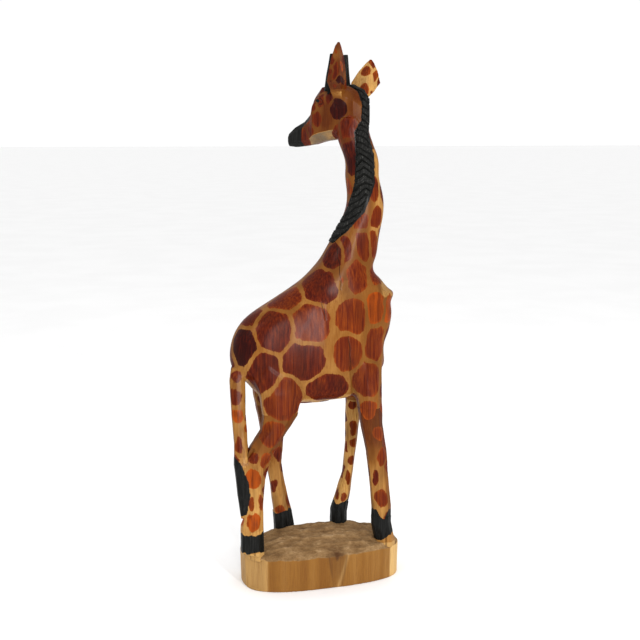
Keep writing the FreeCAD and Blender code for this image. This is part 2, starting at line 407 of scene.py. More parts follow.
# Spots on the sides that face the camera: x, y, z, half length, half height, darkness.
SPOTS = [
    # flank
    (-10, -24, 339, 20, 20, 0.62), (-44, -13, 327, 19, 15, 0.45), (-81, -4, 306, 14, 11, 0.6),
    (-62, -29, 294, 19, 21, 0.64), (-21, -34, 300, 19, 22, 0.42), (-93, -18, 276, 15, 21, 1.0),
    (-73, -28, 248, 17, 23, 0.64), (-30, -36, 260, 22, 20, 0.62), (27, -33, 305, 18, 18, 0.38),
    (57, -27, 312, 14, 16, 0.2), (22, -34, 265, 16, 19, 0.38), (57, -26, 272, 13, 18, 0.4),
    (45, -32, 234, 14, 18, 0.44), (0, -32, 226, 22, 15, 0.6), (-51, -33, 217, 21, 22, 0.46),
    (-101, -19, 237, 6, 11, 0.6),
    # chest and neck
    (77, -8, 348, 17, 10, 0.85), (75, -14, 308, 9, 17, 0.12), (35, -27, 349, 11, 16, 0.42),
    (10, -16, 371, 12, 13, 0.8),
    (23, -21, 378, 4.5, 14.5, 0.55), (58, -18, 383, 6, 14.5, 0.45), (43, -22, 382, 7, 15, 0.45),
    (42, -20, 408, 7, 8, 0.4), (61, -19, 411, 6, 12.5, 0.45), (57, -18, 445, 6, 11.5, 0.4),
    (24, 3, 404, 5, 8, 0.5), (31, 0, 420, 4, 8, 0.45), (32, -2, 448, 4, 8, 0.3),
    (30, -11, 480, 8, 22, 0.85), (29, -12, 508, 9, 13, 0.6),
    # head
    (21, 0, 531, 9, 11, 1.0), (12, 8, 546, 7, 9, 0.75), (8, 22, 541, 6, 7, 0.6),
    (4, 26, 520, 7, 7, 0.5), (0, 37, 508, 9, 6, 0.55),
    # ears
    (15, -18, 560, 11, 3.6, 0.95), (18, -18, 576, 2.2, 4.5, 0.15), (10, -16, 591, 3, 7, 0.35),
    (13, -14, 566, 2.6, 13, 0.5), (59, 16, 573, 5, 4.5, 0.35), (71, 15, 568, 3, 10, 0.3),
    (56, 12, 551, 5, 6, 0.35),
    # near hind leg and tail
    (-65, -33, 180, 14, 13, 0.4), (-86, -31, 154, 5, 6, 0.5), (-72, -30, 151, 6, 8, 0.35),
    (-86, -30, 130, 9, 10, 0.05), (-88, -27, 101, 2.5, 8, 0.3), (-77, -29, 103, 3, 9, 0.35),
    (-87, -31, 82, 7.5, 9.5, 0.05), (-96, -22, 81, 3, 6, 0.1),
    (-102, -20, 227, 7, 12, 0.5), (-102, -23, 201, 7, 6, 0.1), (-102, -26, 169, 4, 9, 0.5),
    # near fore leg
    (46, -34, 199, 9, 9, 0.36), (58, -35, 171, 5, 7, 0.3), (63, -35, 145, 5, 9.5, 0.38),
    (55, -32, 121, 3, 9, 0.6), (63, -35, 94, 7.5, 10.5, 0.4),
    # far legs
    (44, 14, 195, 5, 5, 0.5), (47, 16, 167, 3.5, 9, 0.4), (48, 18, 148, 3.5, 5.5, 0.4),
    (40, 23, 142, 2, 5.5, 0.5), (45, 19, 127, 3.5, 6, 0.4), (37, 25, 111, 3, 7, 0.5),
    (41, 19, 106, 3, 7, 0.35), (29, 24, 87, 3, 5, 0.5), (36, 18, 84, 3, 5, 0.4),
    (-47, 27, 103, 3.5, 7, 0.5), (-38, 22, 180, 8, 12, 0.6), (-42, 24, 140, 5, 9, 0.5),
]
# The way from the statue to the camera; the listed spots are on the faces that look this way.
TOWARDS_CAMERA = np.array([-0.305, -0.939, 0.156])


def spread_spots(node, size, gap, seed, placed, tries=4000):
    """Scatters spots over the faces of a node that look away from the camera."""
    points, triangles = node_polygons(node)
    rng = np.random.default_rng(seed)
    corners = points[triangles].astype(float)
    crosses = np.cross(corners[:, 1] - corners[:, 0], corners[:, 2] - corners[:, 0])
    areas = np.linalg.norm(crosses, axis=1)
    areas *= crosses @ TOWARDS_CAMERA < -0.12 * areas
    picks = rng.choice(len(triangles), tries, p=areas / areas.sum())
    shares = rng.dirichlet((1, 1, 1), tries)
    places = (corners[picks] * shares[:, :, None]).sum(1)
    for place in places:
        radius = size * rng.uniform(0.75, 1.15)
        height = radius * rng.uniform(0.95, 1.35)
        far = all(
            np.linalg.norm(place - np.array(other[:3])) > (radius + min(other[3], other[4])) * gap
            for other in placed)
        if far:
            tone = rng.uniform(0.3, 0.7)
            placed.append((*place, radius, height, tone))


def all_spots():
    """The listed spots, then spots spread over the sides that they leave bare."""
    placed = list(SPOTS)
    spread_spots("torso", 18.0, 0.88, 3, placed)
    spread_spots("neck", 12.0, 0.9, 5, placed)
    spread_spots("head", 8.0, 1.0, 7, placed)
    spread_spots("tail", 5.0, 1.3, 11, placed)
    for number, name in enumerate(LEGS):
        spread_spots(name + "_leg", 6.5, 1.25, 13 + number, placed)
    for number, name in enumerate(("left_ear", "right_ear")):
        spread_spots(name, 5.0, 1.2, 23 + number, placed)
    return np.array(placed)


def spot_fields(points, spots):
    """How far inside a spot each point is, in millimetres, and how dark that spot is."""
    first = np.full(len(points), 1e3)
    second = np.full(len(points), 1e3)
    tone = np.zeros(len(points))
    for x, y, z, half_length, half_height, darkness in spots:
        mean = (half_length + half_height) / 2
        reach = np.abs(points - (x, y, z))
        near = (reach.max(1) < 3 * mean + 10).nonzero()[0]
        offset = (points[near] - (x, y, z)) / (half_length, mean, half_height)
        away = (np.linalg.norm(offset, axis=1) - 1) * mean
        closer = away < first[near]
        second[near] = np.where(closer, first[near], np.minimum(second[near], away))
        tone[near] = np.where(closer, darkness, tone[near])
        first[near] = np.where(closer, away, first[near])
    return first, second, tone


SPOTS_PLACED = all_spots()


def paint_spots(mesh, grow, line):
    """Stores how far inside a spot each vertex is: spots are grown, and parted by a line that wide."""
    points = mesh_points(mesh)
    bend = [bumps(points, 11, seed) * 2.2 + bumps(points, 5, seed + 1) * 0.8 for seed in (31, 33, 35)]
    bend = np.stack(bend, 1)
    first, second, tone = spot_fields(points + bend, SPOTS_PLACED)
    inside = np.minimum(grow - first, (second - first - line) * 0.6)
    store(mesh, "spot", np.clip(inside, -8, 8))
    store(mesh, "tone", tone)


# ---------------------------------------------------------------- nodes and materials

class Shader:
    """A short way to write a material's nodes."""

    def __init__(self, name):
        self.material = bpy.data.materials.new(name)
        self.material.use_nodes = True
        self.tree = self.material.node_tree
        self.tree.nodes.clear()
        self.output = self.add("ShaderNodeOutputMaterial")

    def add(self, kind, inputs=None, **settings):
        """A node with its settings, and with each input linked or set."""
        made = self.tree.nodes.new(kind)
        for key, value in settings.items():
            setattr(made, key, value)
        for key, value in (inputs or {}).items():
            if isinstance(value, bpy.types.NodeSocket):
                self.tree.links.new(value, made.inputs[key])
            else:
                made.inputs[key].default_value = value
        return made

    def math(self, operation, a, b=0.0, c=0.0):
        """The result of one arithmetic step."""
        return self.add("ShaderNodeMath", {0: a, 1: b, 2: c}, operation=operation).outputs[0]

    def value(self, name):
        """A number stored on the vertices."""
        return self.add("ShaderNodeAttribute", attribute_name=name).outputs["Fac"]

    def place(self, stretch):
        """The point's place in millimetres, multiplied by stretch along x, y and z."""
        place = self.add("ShaderNodeTexCoord").outputs["Object"]
        scale = tuple(part / MM for part in stretch)
        return self.add("ShaderNodeVectorMath", {0: place, 1: scale}, operation="MULTIPLY").outputs[0]

    def noise(self, stretch, detail=3.0, roughness=0.55):
        """Noise from 0 to 1, with stretch bumps for each millimetre along x, y and z."""
        settings = {"Vector": self.place(stretch), "Scale": 1.0, "Detail": detail, "Roughness": roughness}
        return self.add("ShaderNodeTexNoise", settings).outputs["Fac"]

    def ease(self, value, low, high):
        """0 below low and 1 above high, smooth between them."""
        inputs = {"Value": value, "From Min": low, "From Max": high}
        return self.add("ShaderNodeMapRange", inputs, interpolation_type="SMOOTHSTEP").outputs[0]

    def mix(self, share, a, b):
        """Colour a where share is 0, b where it is 1."""
        made = self.add("ShaderNodeMix", data_type="RGBA")
        for socket, value in ((0, share), (6, a), (7, b)):
            if isinstance(value, bpy.types.NodeSocket):
                self.tree.links.new(value, made.inputs[socket])
            else:
                made.inputs[socket].default_value = (*value, 1) if socket else value
        return made.outputs[2]

    def blend_number(self, share, a, b):
        """Number a where share is 0, b where it is 1."""
        return self.math("MULTIPLY_ADD", share, self.math("SUBTRACT", b, a), a)

    def ramp(self, share, stops):
        """A colour between stops, each a position and a colour."""
        made = self.add("ShaderNodeValToRGB", {"Fac": share})
        elements = made.color_ramp.elements
        while len(elements) < len(stops):
            elements.new(0.5)
        for element, (position, colour) in zip(elements, stops):
            element.position = position
            element.color = (*colour, 1)
        return made.outputs["Color"]

    def bump(self, height, millimetres):
        """A bump normal, for a height from 0 to 1 that stands for that many millimetres."""
        inputs = {"Height": height, "Distance": millimetres * MM, "Strength": 1.0}
        return self.add("ShaderNodeBump", inputs).outputs[0]

    def finish(self, colour, roughness, normal, **sockets):
        """Ends the material in one shader and returns it; a socket's name has _ for each space."""
        inputs = {"Base Color": colour, "Roughness": roughness, "Normal": normal}
        inputs.update({key.replace("_", " "): value for key, value in sockets.items()})
        surface = self.add("ShaderNodeBsdfPrincipled", inputs)
        self.tree.links.new(surface.outputs[0], self.output.inputs[0])
        return self.material


# Grain runs up the log: bumps for each millimetre along x, y and z.
GRAIN = (0.9, 0.9, 0.035)
BLACK = (0.005, 0.005, 0.0045)


def wood_ground(s, grain):
    """The unspotted wood: from brown stain over ochre and straw to grey-tan, as pale goes from -1 to 2;
    the grey-tan end is a painted reflection of the floor, for faces turned down.
    """
    cloud = s.noise((0.06, 0.06, 0.03), 2.0)
    share = s.math("MULTIPLY_ADD", s.value("pale"), 0.333, 0.333)
    share = s.math("ADD", share, s.math("MULTIPLY", s.math("SUBTRACT", cloud, 0.5), 0.35))
    # The last stop, grey-tan, is a painted reflection of the floor, reached on faces turned down.
    ground = s.ramp(share, (
        (0.0, (0.070, 0.014, 0.002)), (0.333, (0.190, 0.072, 0.012)),
        (0.667, (0.44, 0.235, 0.065)), (1.0, (0.15, 0.11, 0.066))))
    return s.mix(s.ease(grain, 0.42, 0.85), ground, (0.13, 0.036, 0.005))


def wood_stain(s, grain):
    """The spots' stain, from orange to near black, streaked along the grain and thinner at its edge."""
    streak = s.noise((0.55, 0.55, 0.02), 3.0, 0.6)
    cloud = s.noise((0.05, 0.05, 0.03), 2.0)
    tone = s.math("MULTIPLY_ADD", s.math("SUBTRACT", streak, 0.5), 1.1, s.value("tone"))
    tone = s.math("MULTIPLY_ADD", s.math("SUBTRACT", cloud, 0.5), 0.5, tone)
    tone = s.math("MULTIPLY_ADD", s.math("SUBTRACT", grain, 0.5), 0.4, tone)
    tone = s.math("SUBTRACT", tone, s.math("MULTIPLY", s.ease(s.value("spot"), 3.5, 0.0), 0.14))
    return s.ramp(tone, (
        (0.0, (0.27, 0.046, 0.002)), (0.25, (0.145, 0.024, 0.002)),
        (0.5, (0.088, 0.010, 0.0015)), (0.75, (0.046, 0.004, 0.001)), (1.0, (0.017, 0.0015, 0.001))))


def painted_wood():
    """Stained and spotted wood under varnish, with black paint where the carver put it."""
    s = Shader("painted_wood")
    grain = s.noise(GRAIN, 4.0, 0.65)
    brush = s.noise((0.5, 0.5, 0.25), 3.0)
    ragged = s.math("SUBTRACT", brush, 0.5)
    edge = s.math("MULTIPLY_ADD", ragged, 2.6, s.value("spot"))
    colour = s.mix(s.ease(edge, -0.45, 0.45), wood_ground(s, grain), wood_stain(s, grain))
    colour = s.mix(s.ease(s.value("bare"), -0.3, 0.3), colour, (0.38, 0.215, 0.07))
    crack = s.ease(s.math("ABSOLUTE", s.value("crack")), 0.55, 0.15)
    colour = s.mix(crack, colour, (0.010, 0.004, 0.002))
    # Knife cuts, grooves, nostrils and other hollows in the relief are darkened: painted shade.
    hollow_shade = s.ease(s.value("relief"), 0.0, -0.5)
    colour = s.mix(s.math("MULTIPLY", hollow_shade, 0.35), colour, (0.03, 0.008, 0.002))
    black_edge = s.math("MULTIPLY_ADD", ragged, 2.6, s.value("black"))
    black = s.ease(black_edge, -0.2, 0.2)
    colour = s.mix(black, colour, s.ramp(grain, ((0.45, BLACK), (0.85, (0.02, 0.02, 0.019)))))
    rough = s.math("MULTIPLY_ADD", brush, 0.16, 0.30)
    height = s.math("MULTIPLY_ADD", grain, 0.5, s.math("MULTIPLY", brush, 0.5))
    normal = s.bump(height, 0.22)
    return s.finish(colour, rough, normal, Specular_IOR_Level=0.01, Coat_Weight=0.13, Coat_Roughness=0.25)


def black_paint():
    """Black paint brushed over carved wood, streaked with its grain, grey on the ridges as a painted
    highlight and darkest in the cuts as painted shade.
    """
    s = Shader("black_paint")
    grain = s.noise((0.7, 0.7, 0.2), 4.0, 0.6)
    # Raised relief is lightened to grey and cuts are kept black: painted highlight and painted shade, over
    # the grain's streaks.
    grain_and_ridge_highlight = s.math("MULTIPLY_ADD", s.value("relief"), 0.45, grain)
    colour = s.ramp(grain_and_ridge_highlight, ((0.3, BLACK), (0.58, (0.012, 0.012, 0.011)), (0.8, (0.075, 0.073, 0.066))))
    rough = s.math("MULTIPLY_ADD", grain, 0.25, 0.30)
    return s.finish(colour, rough, s.bump(grain, 0.35), Specular_IOR_Level=0.02, Coat_Weight=0.03,
                    Coat_Roughness=0.2)


def bare_wood():
    """The plinth: sawn side with upright grain bands, and a rough weathered mound on top."""
    s = Shader("bare_wood")
    bands = s.noise((0.05, 0.05, 0.0015), 2.0, 0.5)
    fine = s.noise((1.1, 1.1, 0.025), 4.0, 0.7)
    side = s.ramp(bands, (
        (0.35, (0.165, 0.066, 0.011)), (0.5, (0.205, 0.088, 0.016)), (0.65, (0.245, 0.115, 0.026))))
    side = s.mix(s.value("sapwood"), side, (0.56, 0.35, 0.13))
    side = s.mix(s.math("MULTIPLY", s.ease(fine, 0.45, 0.75), 0.65), side, (0.13, 0.046, 0.009))
    blotch = s.noise((0.09, 0.13, 0.13), 4.0, 0.6)
    fibre = s.noise((0.35, 1.3, 1.3), 5.0, 0.8)
    # The relief term makes gouge ridges a little lighter and their hollows darker: painted highlight and
    # shade, under the blotches and fibres.
    share = s.math("MULTIPLY_ADD", s.value("relief"), 0.07, s.math("MULTIPLY", blotch, 0.6))
    share = s.math("MULTIPLY_ADD", fibre, 0.8, share)
    mound = s.ramp(share, (
        (0.45, (0.085, 0.042, 0.016)), (0.62, (0.175, 0.096, 0.038)), (0.76, (0.24, 0.142, 0.062)),
        (0.9, (0.38, 0.25, 0.13))))
    top = s.value("rough")
    colour = s.mix(top, side, mound)
    colour = s.mix(s.value("knot"), colour, (0.055, 0.02, 0.007))
    height = s.blend_number(top, fine, fibre)
    rough = s.blend_number(top, s.math("MULTIPLY_ADD", fine, 0.2, 0.42), 0.85)
    return s.finish(colour, rough, s.bump(height, 0.6), Specular_IOR_Level=0.1)


MATERIALS = {"painted_wood": painted_wood(), "black_paint": black_paint(), "bare_wood": bare_wood()}


# ---------------------------------------------------------------- pieces

def knife_marks(points, normals):
    """The faint flats that a knife and a rasp leave on varnished wood."""
    flats = scallops(points, (15, 15, 34), 41) * 0.32
    waves = bumps(points, (11, 11, 26), 43) * 0.22
    return flats + waves - 0.25


def leg_marks(points, normals):
    """Smaller knife flats, for legs, tail and neck."""
    return scallops(points, (9, 9, 30), 47) * 0.75 + bumps(points, (6, 6, 14), 49) * 0.2 - 0.35


def complete(piece, slot_name, *nodes):
    """Gives a piece its material and its place on the frame, and hides the CAD nodes that it stands for.
    """
    shade_smooth(piece)
    piece.data.materials.append(MATERIALS[slot_name])
    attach(piece, "root")
    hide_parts(*nodes)
    return piece


# Drying checks in the right side: the x and z of both ends, in millimetres.
CRACKS = (((15, 394), (15, 334)), ((-8, 323), (-4, 303)), ((22.5, 284), (26, 244)))


def crack_distance(points):
    """Signed distance across the nearest drying check in the right side of the trunk and neck."""
    nearest = np.full(len(points), 9.0)
    for (x0, z0), (x1, z1) in CRACKS:
        along = np.array([x1 - x0, z1 - z0], float)
        length = np.linalg.norm(along)
        along /= length
        offset = points[:, [0, 2]] - (x0, z0)
        reach = offset @ along
        across = offset @ (-along[1], along[0]) + np.sin(reach * 0.35) * 0.5
        inside = (reach > 0) & (reach < length) & (points[:, 1] < 0)
        taper = 0.5 * np.abs(reach / length * 2 - 1) ** 3
        value = across + np.sign(across) * taper
        nearest = np.where(inside & (np.abs(value) < np.abs(nearest)), value, nearest)
    return nearest


def paint_body(piece, grow=2.6, line=4.5, pale=0.0, black=None, bare=None):
    """Stores all that the painted wood's material reads."""
    mesh = piece.data
    points = mesh_points(mesh)
    paint_spots(mesh, grow, line)
    store(mesh, "pale", np.broadcast_to(pale, len(points)))
    store(mesh, "black", np.full(len(points), -5.0) if black is None else np.clip(black, -5, 5))
    store(mesh, "bare", np.full(len(points), -5.0) if bare is None else np.clip(bare, -5, 5))
    store(mesh, "crack", crack_distance(points))


def mane_paint(block, points):
    """How far inside the black band each point is; it is wider beside the mane than behind it."""
    mane = block.distances(["mane"])
    beside = block.sample(mane, points - (2.2, 0, 0))
    return 1.3 - np.minimum(block.sample(mane, points), beside)


def body_marks(points, normals):
    """Knife flats, a ridge down the flank, the chest's shelf, drying checks, and the foreleg's groove."""
    on_flank = ease(-18, -28, points[:, 1]) * ease(232, 250, points[:, 2]) * ease(336, 318, points[:, 2])
    ridge = np.exp(-((points[:, 0] + 3) / 11) ** 2) * on_flank
    line = 26.5 + (246 - points[:, 2]) * 0.2
    groove = np.exp(-((points[:, 0] - line) / 2.2) ** 2) * ease(0, -15, points[:, 1])
    groove *= ease(262, 246, points[:, 2])
    check = np.exp(-(crack_distance(points) / 0.9) ** 2)
    breast = np.exp(-((points[:, 2] - 283) / 11) ** 2) * 1.5
    corner = np.exp(-((points[:, 2] - 335) / 7) ** 2) * 3.4
    shelf = (breast - corner) * ease(58, 76, points[:, 0])
    return knife_marks(points, normals) + ridge * 1.1 + shelf - groove * 1.8 - check * 0.5


def make_torso():
    """Trunk with the tops of the legs and tail blended into it."""
    block = Block((-112, -42, 190), (92, 42, 352), 0.95)
    values = trunk_distances(block)
    fade = ease(LEG_FADE[0], LEG_FADE[1], block.heights()) * 5
    for name in LEGS:
        values = blend(values, leg_distances(block, name) + fade, 7.0)
    values = blend(values, tail_distances(block), 4.0)
    cuts = [((0, 0, BELLY_CUT), (0, 0, -1)), ((0, 0, WITHERS_CUT), (0, 0, 1))]
    piece = sculpt("torso", block, values, cuts, body_marks, 2)
    points = mesh_points(piece.data)
    normals = vertex_normals(piece.data)
    pale = ease(330, 200, points[:, 2]) * 0.2 - ease(20, 50, points[:, 0]) * 0.25
    # A straw-coloured patch at the chest's corner.
    pale += ease(62, 70, points[:, 0]) * ease(322, 326, points[:, 2]) * ease(342, 338, points[:, 2]) * 1.5
    # Faces turned down are made paler: a painted reflection of the floor on the belly.
    paint_body(piece, pale=pale + ease(-0.55, -0.9, normals[:, 2]) * 0.9)
    return complete(piece, "painted_wood", "torso")


def make_neck():
    """Neck from the withers to the throat."""
    block = Block((-22, -34, 335), (82, 34, 497), 0.75)
    values = blend(trunk_distances(block), skull_distances(block), 2.4)
    cuts = [((0, 0, WITHERS_CUT), (0, 0, -1)), ((0, 0, THROAT_CUT), (0, 0, 1))]
    piece = sculpt("neck", block, values, cuts, knife_marks, 2)
    points = mesh_points(piece.data)
    middle = np.interp(points[:, 2], *zip(*NECK_MIDDLE))
    pale = ease(0, 12, points[:, 0] - middle) * ease(370, 410, points[:, 2]) * 0.9 - 0.35
    paint_body(piece, 2.4, 4.0, pale, mane_paint(block, points))
    return complete(piece, "painted_wood", "neck")


def skull_distances(block):
    """Head and muzzle as one solid."""
    return block.distances(["head", "muzzle"], [muzzle_seam()])


def eye_shape(points):
    """The almond of each eye, 1 on its rim and less inside, and how far to its side a point lies."""
    u, v = head_axes(points)
    along = (u - EYE_U) * 0.94 + (points[:, 2] - EYE_HEIGHT) * 0.34
    across = (points[:, 2] - EYE_HEIGHT) * 0.94 - (u - EYE_U) * 0.34
    rim = np.sqrt((along / 7.0) ** 2 + (np.abs(across) / 3.6 + 0.12 * (along / 7.0) ** 2) ** 2)
    return rim, np.abs(v)


def head_marks(points, normals):
    """Carved eyes and brows over small knife flats."""
    rim, side = eye_shape(points)
    on_side = ease(8, 12, side)
    groove = np.exp(-((rim - 1.0) / 0.22) ** 2) * 0.7
    ball = ease(1.0, 0.2, rim) * 0.7
    lid = np.exp(-((rim - 1.45) / 0.25) ** 2) * 0.35
    marks = scallops(points, (9, 9, 15), 53) * 0.3 - 0.15
    return marks + (ball + lid - groove) * on_side


def make_head():
    """Head with carved eyes, and wood that rises around the roots of the ears and horns."""
    block = Block((-2, -26, 478), (76, 64, 569), 0.5)
    values = blend(trunk_distances(block), skull_distances(block), 2.4)
    for name, height in (("left_ear", 559), ("right_ear", 549)):
        root = block.distances([name]) - 0.7 + ease(height - 10, height, block.heights()) * 4
        values = blend(values, root, 7.0)
    for name in ("left_horn", "right_horn"):
        values = blend(values, block.distances([name]) + 1.6, 4.0)
    cuts = [((0, 0, THROAT_CUT), (0, 0, -1)), muzzle_seam()]
    piece = sculpt("head", block, values, cuts, head_marks, 4)
    points = mesh_points(piece.data)
    normals = vertex_normals(piece.data)
    rim, side = eye_shape(points)
    eye = np.where(side > 8, (0.5 - rim) * 5, -5)
    black = np.maximum(np.maximum(eye, muzzle_paint(points, normals)), mane_paint(block, points))
    v = head_axes(points)[1]
    # Faces turned down are made grey-tan: a painted reflection of the floor under the jaw.
    pale = bumps(points, 14, 81) * 0.4 - 0.85 + ease(-0.5, -0.8, normals[:, 2]) * 2.7
    at_far_ear = ease(-17, -21, v) * ease(541, 545, points[:, 2])
    pale = pale + (1.0 - pale) * at_far_ear
    paint_body(piece, 1.6, 3.0, pale, black)
    return complete(piece, "painted_wood", "head")


def muzzle_paint(points, normals):
    """How far inside the black of the muzzle each point is: the nose, and a band up its bridge."""
    u = head_axes(points)[0]
    nose = u - 70.5 + bumps(points, 5, 83) * 1.5
    bridge = np.minimum(np.minimum(u - 45, 523 - points[:, 2]), (normals[:, 2] - 0.35) * 8)
    return np.maximum(nose, bridge)


def muzzle_marks(points, normals):
    """Nostrils and a shallow mouth line."""
    u, v = head_axes(points)
    height = points[:, 2]
    nostril = np.exp(-(((u - 88) / 2.2) ** 2 + ((height - 501) / 1.3) ** 2)) * ease(2.5, 4, np.abs(v))
    mouth = np.exp(-((height - 494.5 + (u - 80) * 0.06) / 0.6) ** 2) * ease(70, 76, u)
    return scallops(points, (7, 7, 12), 57) * 0.2 - nostril * 0.9 - mouth * 0.35


def make_muzzle():
    """The nose beyond the cut."""
    block = Block((-16, 48, 480), (16, 88, 524), 0.4)
    values = skull_distances(block)
    place, forward = muzzle_seam()
    backward = tuple(-part for part in forward)
    piece = sculpt("muzzle", block, values, [(place, backward)], muzzle_marks, 2)
    points = mesh_points(piece.data)
    normals = vertex_normals(piece.data)
    # Faces turned down are made grey-tan: a painted reflection of the floor under the jaw.
    pale = ease(-0.5, -0.8, normals[:, 2]) * 2.7 - 0.75
    paint_body(piece, 1.6, 3.0, pale, muzzle_paint(points, normals))
    return complete(piece, "painted_wood", "muzzle")


# The x and y of two corners of the space around each leg.
LEG_BOXES = {
    "right_fore": ((22, -46), (92, 4)),
    "left_fore": ((8, 2), (74, 46)),
    "right_hind": ((-112, -42), (-20, 2)),
    "left_hind": ((-84, 6), (-10, 50)),
}
# Heights between which each hoof is painted black.
HOOF_PAINT_TOP = {"right_fore": 81, "left_fore": 77, "right_hind": 68, "left_hind": 72}
HOOF_PAINT_FOOT = {"right_fore": 42, "left_fore": 44, "right_hind": 45, "left_hind": 46}
# How pale the wood of each leg is at the top and at the foot.
LEG_PALE = {"right_fore": (-0.95, 0.35), "left_fore": (0.8, 0.9), "right_hind": (-0.4, 0.75),
            "left_hind": (-0.6, 0.4)}


def hoof_paint(name, points):
    """How far inside the ragged band of the hoof's black paint each point is."""
    top = HOOF_PAINT_TOP[name] + bumps(points, (5, 5, 60), 61) * 3.5
    foot = HOOF_PAINT_FOOT[name] + bumps(points, (4, 4, 60), 63) * 2
    if name == "right_fore":
        top -= 13 * np.exp(-((points[:, 0] - 65.5) / 4.5) ** 2) * ease(-20, -30, points[:, 1])
        foot += np.clip(points[:, 0] - 55, 0, 30) * 0.45
    return np.minimum(top - points[:, 2], points[:, 2] - foot)


def tuft_paint(points):
    """How far inside the black of the tail's tuft each point is: a long leaf on the back of the hock."""
    heights = (84, 89, 95, 102, 108, 116, 123, 130, 136, 144, 149, 157)
    edges = (-103, -93.5, -91.5, -90.5, -89.6, -89.8, -90.6, -92.6, -95.7, -97.5, -100.2, -107)
    edge = np.interp(points[:, 2], heights, edges) + bumps(points, 6, 65) * 0.6
    inside = np.minimum(edge - points[:, 0], points[:, 2] - 87)
    return np.where(points[:, 1] < 5, inside, -5)


def hock_marks(points, normals):
    """Knife flats, with the deep cut that parts the tail from the hock."""
    offset_x = points[:, 0] + 90
    offset_z = points[:, 2] - 157
    along = offset_x * 0.55 + offset_z * 0.83
    across = offset_x * 0.83 - offset_z * 0.55
    cut = np.exp(-(across / 1.6) ** 2) * ease(10, 6, np.abs(along)) * ease(-10, -20, points[:, 1])
    return leg_marks(points, normals) - cut * 2.0


def make_leg(name):
    """A leg from the belly down to its hoof, then the hoof itself."""
    (x0, y0), (x1, y1) = LEG_BOXES[name]
    top = seam_height(name + "_hoof")
    near_hind = name == "right_hind"
    block = Block((x0, y0, top - 6), (x1, y1, BELLY_CUT + 8), 0.6)
    values = blend(trunk_distances(block), leg_distances(block, name), 7.0)
    if near_hind:
        low = block.heights() < seam_height("tail_tuft") - 0.1
        joined = blend(values, tail_distances(block), 3.0)
        values = np.where(low, joined, values)
    cuts = [((0, 0, BELLY_CUT), (0, 0, 1)), ((0, 0, top), (0, 0, -1))]
    piece = sculpt(name + "_leg", block, values, cuts, hock_marks if near_hind else leg_marks, 2)
    points = mesh_points(piece.data)
    black = hoof_paint(name, points)
    if near_hind:
        black = np.maximum(black, tuft_paint(points))
    upper, lower = LEG_PALE[name]
    pale = upper + (lower - upper) * ease(175, 115, points[:, 2])
    # Sides turned towards +x are made darker: painted shade on the leg's facets.
    pale -= ease(0.1, 0.8, vertex_normals(piece.data)[:, 0]) * 0.45
    paint_body(piece, 1.0, 3.0, pale, black)
    complete(piece, "painted_wood", name + "_leg")

    block = Block((x0, y0, 28), (x1, y1, top + 6), 0.5)
    values = leg_distances(block, name)
    side = block.distances(["plinth"])[:, :, :1] + 0.25 - ease(39, 47, block.heights()) * 12
    values = np.maximum(values, side)
    hoof = sculpt(name + "_hoof", block, values, [((0, 0, top), (0, 0, 1))], hoof_marks(name), 2)
    points = mesh_points(hoof.data)
    foot = HOOF_PAINT_FOOT[name] - points[:, 2]
    paint_body(hoof, 1.0, 3.0, lower, hoof_paint(name, points), foot)
    complete(hoof, "painted_wood", name + "_hoof")


def hoof_marks(name):
    """A carver of the cleft at the front of one hoof."""
    low, high = box_corners(name + "_hoof")
    middle = (low + high) / 2

    def marks(points, normals):
        across = np.where(np.abs(normals[:, 1]) > 0.6, points[:, 0] - middle[0], points[:, 1] - middle[1])
        cleft = np.exp(-(across / 0.9) ** 2) * ease(low[2] + 26, low[2] + 10, points[:, 2])
        shown = np.maximum(ease(0.1, 0.6, normals[:, 0]), ease(-0.3, -0.7, normals[:, 1]))
        return scallops(points, (8, 8, 12), 59) * 0.4 - cleft * shown * 1.6
    return marks


def make_tail():
    """The tail below the rump, and the tuft."""
    tuft_top = seam_height("tail_tuft")
    block = Block((-112, -36, tuft_top - 6), (-80, 2, BELLY_CUT + 6), 0.6)
    values = tail_distances(block)
    cuts = [((0, 0, BELLY_CUT), (0, 0, 1)), ((0, 0, tuft_top), (0, 0, -1))]
    piece = sculpt("tail", block, values, cuts, leg_marks, 2)
    points = mesh_points(piece.data)
    paint_body(piece, 1.0, 3.0, 0.35, tuft_paint(points))
    complete(piece, "painted_wood", "tail")
    block = Block((-112, -36, 78), (-80, -8, tuft_top + 6), 0.5)
    values = tail_distances(block)
    tuft = sculpt("tail_tuft", block, values, [((0, 0, tuft_top), (0, 0, 1))], leg_marks, 2)
    points = mesh_points(tuft.data)
    paint_body(tuft, 1.0, 3.0, 0.6, tuft_paint(points))
    complete(tuft, "painted_wood", "tail_tuft")


def mane_marks(points, normals):
    """Slanting V cuts across the ridge, with fine hair lines between them."""
    middle = np.interp(points[:, 2], *zip(*NECK_MIDDLE))
    side = points[:, 0] - middle + 6
    phase = (points[:, 2] + np.abs(side) * 0.7 + bumps(points, 9, 85) * 2.5) / 7.6
    notch = np.abs((phase % 1) - 0.5) * 2
    deep = np.clip(1 - notch / 0.35, 0, 1)
    hair = np.sin(phase * 2 * math.pi * 4) * 0.15
    return hair - deep * 2.0 * (0.6 + 0.4 * bumps(points, 7, 87))


def make_mane():
    """The notched ridge from the crown to the withers."""
    block = Block((-6, -34, 374), (78, 24, 564), 0.5)
    values = block.distances(["mane"]) - 0.4
    piece = sculpt("mane", block, values, [], mane_marks, 1)
    return complete(piece, "black_paint", "mane")


